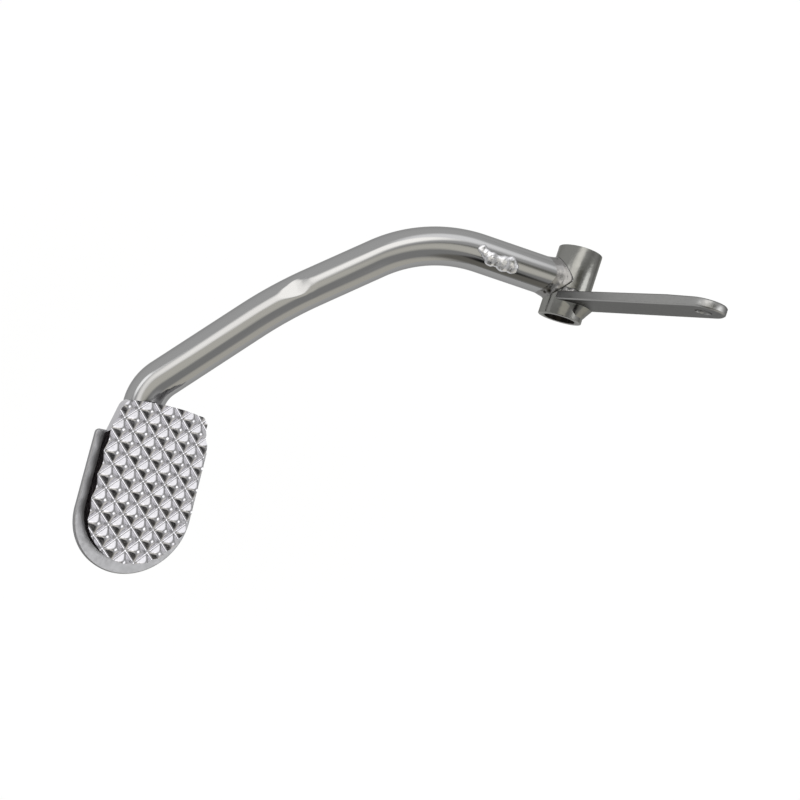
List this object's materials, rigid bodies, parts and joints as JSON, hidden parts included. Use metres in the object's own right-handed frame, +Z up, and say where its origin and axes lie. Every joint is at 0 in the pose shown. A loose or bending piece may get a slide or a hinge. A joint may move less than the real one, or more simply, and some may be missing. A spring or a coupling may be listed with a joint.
{
  "type": "rear brake pedal",
  "caption": "Chrome plated steel foot lever: a bent tube arm from a pivot sleeve to a toothed foot pad, with a flat lever that pulls the brake rod.",
  "frame": {"origin": "middle of the pivot bore, on its axis", "axes": "+Y outboard along the pivot axis, +Z up along the rod lever, +X forward towards the foot pad"},
  "size_m": [0.178, 0.1952, 0.1605],
  "materials": {
    "chrome_plate": "bright chrome plate on polished steel",
    "plated_bar": "satin chrome plate on ground bar and plate",
    "plated_weld": "chrome plate over lumpy weld beads"
  },
  "bodies": {
    "root": {"pivot_sleeve": "chrome_plate", "arm_tube": "chrome_plate", "rod_lever": "plated_bar", "pad_base": "plated_bar", "tread_plate": "chrome_plate", "arm_weld": "plated_weld", "arm_weld_patch": "plated_weld", "lever_weld_outboard": "plated_weld", "lever_weld_inboard": "plated_weld", "pad_weld_front": "plated_weld", "pad_weld_rear": "plated_weld"}
  },
  "joints": []
}
